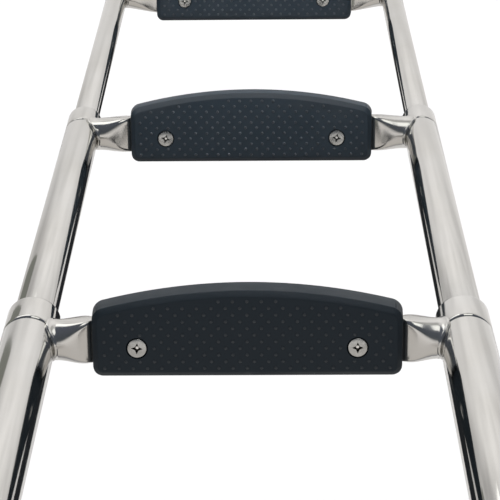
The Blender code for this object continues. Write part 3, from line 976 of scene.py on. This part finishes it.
nut = hex_nut(10 * MM, 4.5 * MM, 3.05 * MM)
print("nut:", len(nut.faces), "faces")
for section in SECTIONS:
    for (side_name, side), turn in zip(SIDES, SCREW_TURN[section]):
        name = section + "_" + side_name
        body = section + "_section"
        spot = Matrix.Rotation(turn, 4, "Z")
        head = step_place(section, (side * SCREW_X, SCREW_Y, TREAD_TOP))
        piece = keep(screw.copy(), head @ spot, name + "_screw", body, fastener, 30)
        # The recess walls take the dark finish of painted shade.
        piece.data.materials.append(recess_painted_shade)
        # The recess bottom takes the bright finish of a painted highlight.
        piece.data.materials.append(painted_highlight_bottom)
        under = step_place(section, (side * SCREW_X, SCREW_Y, NUT_TOP))
        keep(nut.copy(), under @ spot, name + "_nut", body, fastener, 30)
screw.free()
nut.free()

# %% [markdown]
# ## Deck brackets
#
# Each bracket is a plate bent to a U: a flat base and two ears with a round eye for the pivot.
# The side outline follows the eye and runs straight to the base at both ends, so it needs the
# two points where these lines touch the eye.

# %% Bracket outline
PIVOT_Z = PIVOT.z
BASE = 4 * MM
WASHER = 1.5 * MM
EAR_IN = RADIUS["upper"] + WASHER + 2 * GAP
EAR_OUT = EAR_IN + 3 * MM
EYE_R = 15 * MM
EYE_STEPS = 40
BASE_FRONT = (RADIUS["upper"] + GAP) / math.cos(LEAN) - (PIVOT_Z - BASE) * math.tan(LEAN)
BASE_REAR = BASE_FRONT + 66 * MM
REAR_TOP = 10 * MM


def tangent_turn(y, z, side):
    """The angle on the pivot eye where a line from a point touches it."""
    away = Vector((y, z - PIVOT_Z))
    return math.atan2(away.y, away.x) + side * math.acos(EYE_R / away.length)


def side_outline():
    start = tangent_turn(BASE_REAR, REAR_TOP, 1)
    end = tangent_turn(BASE_FRONT, BASE, -1) + math.tau
    turns = [start + (end - start) * i / EYE_STEPS for i in range(EYE_STEPS + 1)]
    eye = [(EYE_R * math.cos(t), PIVOT_Z + EYE_R * math.sin(t)) for t in turns]
    foot = [(BASE_FRONT, 0), (BASE_REAR, 0), (BASE_REAR, REAR_TOP)]
    return foot + eye + [(BASE_FRONT, BASE)]


print("bracket outline:", len(side_outline()), "points")

# %% [markdown]
# A U section is cut from a block with rounded bends, and a Boolean keeps only what lies inside
# the side outline. Then come the pivot bore and the two deck holes, and last a small bevel on
# every cut edge.

# %% Brackets
U_LENGTH = 200 * MM
U_HEIGHT = 120 * MM
OUTER_BEND = 3.6 * MM
INNER_BEND = 1.2 * MM
CUT_HALF = 50 * MM
DECK_HOLE_R = 4.25 * MM
DECK_HOLES = (BASE_FRONT + 26 * MM, BASE_FRONT + 52 * MM)


def u_section():
    outer = block((2 * EAR_OUT, U_LENGTH, U_HEIGHT), (0, 0, U_HEIGHT / 2))
    inner = block((2 * EAR_IN, 2 * U_LENGTH, U_HEIGHT), (0, 0, BASE + U_HEIGHT / 2))
    for shape, floor, radius in ((outer, 0, OUTER_BEND), (inner, BASE, INNER_BEND)):
        bends = [e for e in edges_at(shape, Z, floor) if runs_across(e, X)]
        round_edges(shape, bends, radius, 6)
    return carve(outer, inner)


def bracket():
    outline = bmesh.new()
    outline.faces.new([outline.verts.new((-CUT_HALF, y, z)) for y, z in side_outline()])
    thicken(outline, (2 * CUT_HALF, 0, 0))
    shape = carve(u_section(), outline, "INTERSECT")
    pivot = Matrix.Translation((0, 0, PIVOT_Z)) @ Matrix.Rotation(math.pi / 2, 4, "Y")
    shape = carve(shape, moved(rod(BOLT_R + GAP, 2 * CUT_HALF), pivot))
    for hole_y in DECK_HOLES:
        drill = rod(DECK_HOLE_R, 30 * MM)
        shape = carve(shape, moved(drill, Matrix.Translation((0, hole_y, 0))))
    return soften(shape, 0.35 * MM, 2, 40)


for side_name, side in SIDES:
    place = Matrix.Translation((side * RAIL_X, 0, 0))
    piece = keep(bracket(), place, side_name + "_deck_bracket", "mount", steel, 30)
    print(piece.name, len(piece.data.polygons), "faces")

# %% [markdown]
# ## Pivot bolts, washers and lock nuts
#
# A button-head bolt with a hexagon socket passes through both ears and the rail. Nylon washers
# keep the rail from rubbing on the ears. Because the joint has to turn freely, the bolt ends in
# a lock nut: a hexagon with a round collar that holds a nylon ring.

# %% Bolt, lock nut and washer
BUTTON_R = 7.5 * MM
BUTTON_EDGE = 0.6 * MM
BUTTON_RISE = 3.9 * MM
SOCKET_FLATS = 5 * MM
THREAD = 14 * MM
RING_R = 4.6 * MM
RING_BORE = 4.05 * MM
RING_Z = (-5.4 * MM, -7.6 * MM)
COLLAR_MM = ((4.6, -5.2), (6.0, -5.2), (6.0, -6.6), (5.6, -7.5), (5.1, -8), (4.6, -8))
WASHER_R = 10 * MM


def pivot_bolt():
    """A bolt below z = 0, with its button head above."""
    end = -2 * (EAR_OUT + GAP) - 10 * MM
    profile = dome(BUTTON_R, BUTTON_EDGE, BUTTON_RISE) + [(BUTTON_R, 0), (BOLT_R, 0)]
    profile += [(BOLT_R, end + THREAD + 0.5 * MM)]
    profile += ridged(BOLT_R, end + THREAD, end, 1.25 * MM) + [(0, end)]
    socket = rod(SOCKET_FLATS / math.sqrt(3), 6 * MM, 6)
    return carve(turned(profile, 64), moved(socket, Matrix.Translation((0, 0, 5 * MM))))


def lock_nut():
    """The hexagon at the ear and the round collar beyond it, below z = 0."""
    shape = hex_nut(13 * MM, 5.6 * MM, RING_BORE)
    return carve(shape, turned([(r * MM, z * MM) for r, z in COLLAR_MM], 48), "UNION")


for side_name, side in SIDES:
    turn = Matrix.Rotation(side * math.pi / 2, 4, "Y")
    ear = side * (EAR_OUT + GAP)
    bolt_place = Matrix.Translation((side * RAIL_X + ear, 0, PIVOT_Z)) @ turn
    nut_place = Matrix.Translation((side * RAIL_X - ear, 0, PIVOT_Z)) @ turn
    keep(pivot_bolt(), bolt_place, side_name + "_pivot_bolt", "mount", fastener, 30)
    keep(lock_nut(), nut_place, side_name + "_pivot_nut", "mount", fastener, 30)
    shape = soften(pipe(RING_BORE, RING_R, *RING_Z, 48), 0.15 * MM)
    keep(shape, nut_place, None, "mount", nylon, 30, side_name + "_lock_ring")
    for where, way in (("outer", side), ("inner", -side)):
        x = side * RAIL_X + way * (RADIUS["upper"] + GAP + WASHER / 2)
        place = Matrix.Translation((x, 0, PIVOT_Z)) @ turn
        shape = soften(pipe(BOLT_R + GAP, WASHER_R, WASHER / 2, -WASHER / 2, 64), 0.25 * MM)
        keep(shape, place, f"{side_name}_{where}_washer", "mount", nylon, 30)
    print(side_name, "pivot at x =", round(side * RAIL_X / MM), "mm, with two washers")

# %% [markdown]
# ## Camera
#
# The picture looks down on the ladder from above its upper end, from the climber's side, with
# a long lens. Both were measured from the places of the screws, the rails and the collars.

# %% Camera
camera = add_object("camera", bpy.data.cameras.new("camera"))
camera.data.sensor_width = 36.0
camera.data.lens = 103.9
camera.data.clip_start = 0.01
look = Vector((0.01285, 0.25600, -0.96659)).normalized()
right = look.cross(Vector((-0.00486, -0.96664, -0.25608))).normalized()
turn = Matrix((right, right.cross(look), -look)).transposed()
camera.matrix_world = Matrix.Translation((-0.01252, -0.34726, 0.51996)) @ turn.to_4x4()
bpy.context.scene.camera = camera
print("camera:", round(camera.data.lens), "mm lens")

# %% [markdown]
# ## Studio floor
#
# The floor is pale and wide. To the camera it is close to white and keeps a trace of the
# ladder's shadow. Polished steel shows what is around it, so mirror reflections see a pool of
# light on the floor instead: brightest in front of the ladder, a little uneven, and dimmer to
# one side. A Light Path node tells the kinds of rays apart.


# %% Shader helpers
def calculated(tree, operation, first, second):
    """A Math node. Either value may be a number or another node's output."""
    result = add_node(tree, "Math", {0: first, 1: second})
    result.node.operation = operation
    return result


def chosen(tree, choice, first, second):
    """The second shader where the choice is 1."""
    return add_node(tree, "MixShader", {"Fac": choice, 1: first, 2: second})


def plane(name, size, matrix, material):
    """A flat sheet of the studio, which isn't part of the ladder."""
    shape = bmesh.new()
    bmesh.ops.create_grid(shape, x_segments=1, y_segments=1, size=0.5)
    thing = as_object(moved(shape, matrix @ Matrix.Diagonal((*size, 1, 1))), name)
    thing.data.materials.append(material)
    return thing


# %% Floor
FLOOR_Z = -1.15
FLOOR_SIZE = 14
POOL_Y = -1.3
POOL_R = 1.1
POOL_SHIFT = (0.1, POOL_Y / -POOL_R, FLOOR_Z / -POOL_R)
DIM_SIDE = {"From Min": 0.3, "From Max": 0.85, "To Max": -0.22}


def pool_of_light(tree):
    """What mirror reflections see of the floor."""
    place = tree.nodes.new("ShaderNodeTexCoord").outputs["Object"]
    scaling = {"Location": POOL_SHIFT, "Scale": (1 / POOL_R,) * 3}
    middle = add_node(tree, "Mapping", {"Vector": place, **scaling})
    pool = add_node(tree, "TexGradient", {"Vector": middle}).node
    pool.gradient_type = "SPHERICAL"
    patches = add_node(tree, "TexNoise", {"Vector": place, "Scale": 3.2, "Detail": 1.0})
    sideways = add_node(tree, "SeparateXYZ", {"Vector": place})
    dimmer = add_node(tree, "MapRange", {"Value": sideways, **DIM_SIDE})
    dimmer.node.interpolation_type = "SMOOTHSTEP"
    level = calculated(tree, "MULTIPLY", pool.outputs["Fac"], 0.32)
    level = calculated(tree, "ADD", level, spread(tree, patches, 0.72, 0.88))
    level = calculated(tree, "ADD", level, dimmer)
    return add_node(tree, "Emission", {"Color": (1.0, 0.98, 0.965, 1), "Strength": level})


floor_white = bpy.data.materials.new("floor_white")
floor_white.use_nodes = True
tree = floor_white.node_tree
paint = tree.nodes["Principled BSDF"]
set_inputs(paint, {"Base Color": (0.85, 0.85, 0.85, 1), "Roughness": 0.9})
path = tree.nodes.new("ShaderNodeLightPath").outputs
seen = calculated(tree, "MAXIMUM", path["Is Camera Ray"], path["Is Transmission Ray"])
white = add_node(tree, "Emission", {})
surface = chosen(tree, calculated(tree, "MULTIPLY", seen, 0.9), paint.outputs["BSDF"], white)
surface = chosen(tree, path["Is Glossy Ray"], surface, pool_of_light(tree))
set_inputs(tree.nodes["Material Output"], {"Surface": surface})
plane("floor", (FLOOR_SIZE, FLOOR_SIZE), Matrix.Translation((0, 0, FLOOR_Z)), floor_white)
print("floor:", FLOOR_SIZE, "m wide at", FLOOR_Z, "m")

# %% [markdown]
# ## World
#
# The world is white to the camera and lights the ladder evenly with a pale grey. Mirror
# reflections see a plain room in it: dark from the front up to overhead, then a bright strip
# and a warm pale wall on the boat's side. The angle of a ray about X, from the front horizon
# over the top to the rear one, picks the tone from a colour ramp.

# %% World
ROOM_TONES = (
    (0.0, (0.10, 0.11, 0.14)),
    (0.47, (0.07, 0.08, 0.09)),
    (0.53, (0.90, 0.87, 0.84)),
    (0.565, (0.86, 0.83, 0.80)),
    (0.61, (0.64, 0.61, 0.58)),
    (0.87, (0.64, 0.61, 0.57)),
    (1.0, (0.46, 0.44, 0.42)),
)


def room(tree):
    """What mirror reflections see above the floor."""
    way = tree.nodes.new("ShaderNodeTexCoord").outputs["Generated"]
    parts = add_node(tree, "SeparateXYZ", {"Vector": way}).node.outputs
    front = calculated(tree, "MULTIPLY", parts["Y"], -1.0)
    rise = calculated(tree, "ARCTAN2", parts["Z"], front)
    share = add_node(tree, "MapRange", {"Value": rise, "From Max": math.pi})
    return add_node(tree, "Background", {"Color": toned(tree, share, ROOM_TONES)})


world = bpy.data.worlds.new("studio")
bpy.context.scene.world = world
world.use_nodes = True
tree = world.node_tree
tree.nodes.clear()
path = tree.nodes.new("ShaderNodeLightPath").outputs
lighting = add_node(tree, "Background", {"Color": (0.62, 0.63, 0.65, 1)})
lighting = chosen(tree, path["Is Glossy Ray"], lighting, room(tree))
white = add_node(tree, "Background", {"Color": (1, 1, 1, 1)})
lighting = chosen(tree, path["Is Camera Ray"], lighting, white)
set_inputs(tree.nodes.new("ShaderNodeOutputWorld"), {"Surface": lighting})
print("world:", len(ROOM_TONES), "tones of the room")

# %% [markdown]
# ## Reflection cards
#
# A photographer shapes the bands on polished metal with cards round it. These five are seen by
# mirror reflections alone. Three stand upright in front: a window, a bright one and a grey
# one. Two lie along the rails: a grey strip beside one rail, and a dark fin behind the treads,
# which gives both rails a dark inner line.

# %% Cards
RAIL_FRONT = Vector((0, -math.cos(LEAN), math.sin(LEAN)))
STRIP_TURN = math.radians(72)
FIN_TURN = math.radians(90)


def card(name, size, matrix, level):
    """A flat card that only mirror reflections see."""
    paint = bpy.data.materials.new(name)
    paint.use_nodes = True
    tree = paint.node_tree
    tree.nodes.clear()
    glow = add_node(tree, "Emission", {"Color": (*level, 1)})
    set_inputs(tree.nodes.new("ShaderNodeOutputMaterial"), {"Surface": glow})
    thing = plane(name, size, matrix, paint)
    thing.visible_camera = False
    thing.visible_diffuse = False
    thing.visible_transmission = False
    thing.visible_shadow = False
    return thing


def standing(x, y, z):
    """Stands a card upright, facing along Y."""
    return Matrix.Translation((x, y, z)) @ Matrix.Rotation(math.pi / 2, 4, "X")


def along_rail(turn, x, front, reach):
    """Lays a card along the rails, turned about its length from facing the front."""
    across = Vector((math.cos(turn), 0, 0)) - math.sin(turn) * RAIL_FRONT
    matrix = Matrix((across, RAIL_UP, across.cross(RAIL_UP))).transposed().to_4x4()
    matrix.translation = PIVOT - reach * RAIL_UP + front * RAIL_FRONT + Vector((x, 0, 0))
    return matrix


strip_place = along_rail(STRIP_TURN, RAIL_X + 0.163, 0.053, 0.45)
fin_place = along_rail(FIN_TURN, 0, -0.142, 0.75)
cards = (
    card("window", (0.72, 0.85), standing(-0.34, -1.45, 0.08), (1.35, 1.35, 1.3)),
    card("low_bright", (0.8, 0.34), standing(0.55, -1.0, -0.57), (1.7, 1.7, 1.65)),
    card("low_grey", (0.8, 0.5), standing(-0.6, -1.45, -0.62), (0.5, 0.5, 0.48)),
    card("grey_strip", (0.13, 0.30), strip_place, (0.24, 0.245, 0.22)),
    card("dark_fin", (0.21, 1.0), fin_place, (0.02, 0.022, 0.025)),
)
print("cards:", [thing.name for thing in cards])

# %% [markdown]
# ## Lamps
#
# Five softboxes light the plastic and the floor. Key, fill and back light come from above, a
# low strip close in front lifts the front walls of the treads, and a narrow beam reaches down
# to the lower step. The steel doesn't mirror them: the cards do that work.


# %% Lamps
def softbox(name, at, aim, size, power, beam=180.0, colour=(1, 1, 1)):
    """An area lamp at a point, aimed at another, that isn't seen itself."""
    light = bpy.data.lights.new(name, "AREA")
    light.shape = "RECTANGLE"
    light.size, light.size_y = size
    light.energy = power
    light.spread = math.radians(beam)
    light.color = colour
    lamp = add_object(name, light)
    lamp.location = at
    lamp.rotation_euler = (Vector(aim) - Vector(at)).to_track_quat("-Z", "Y").to_euler()
    lamp.visible_camera = False
    lamp.visible_glossy = False
    return lamp


LADDER = (0, -0.12, -0.4)
MIDDLE_STEP = (0, -0.19, -0.54)
LOWER_STEP = (0, -0.2, -0.95)
WARM = (1.0, 0.955, 0.94)
ROSY = (1.0, 0.95, 1.0)
lamps = (
    softbox("key", (1.1, -1.6, 1.3), LADDER, (1.4, 1.4), 23),
    softbox("fill", (-1.5, -1.0, 0.9), LADDER, (1.4, 1.4), 14),
    softbox("back", (0.2, 1.7, 0.9), LADDER, (1.6, 1.0), 18),
    softbox("front", (0.0, -0.45, -0.465), MIDDLE_STEP, (0.5, 0.1), 5.0, 180, WARM),
    softbox("low", (0.0, -1.2, 0.3), LOWER_STEP, (0.8, 0.5), 1.0, 44, ROSY),
)
print("lamps:", {lamp.name: lamp.data.energy for lamp in lamps})

# %% [markdown]
# ## View settings
#
# The Standard view keeps colours as they are written.

# %% Finish
bpy.context.scene.view_settings.view_transform = "Standard"
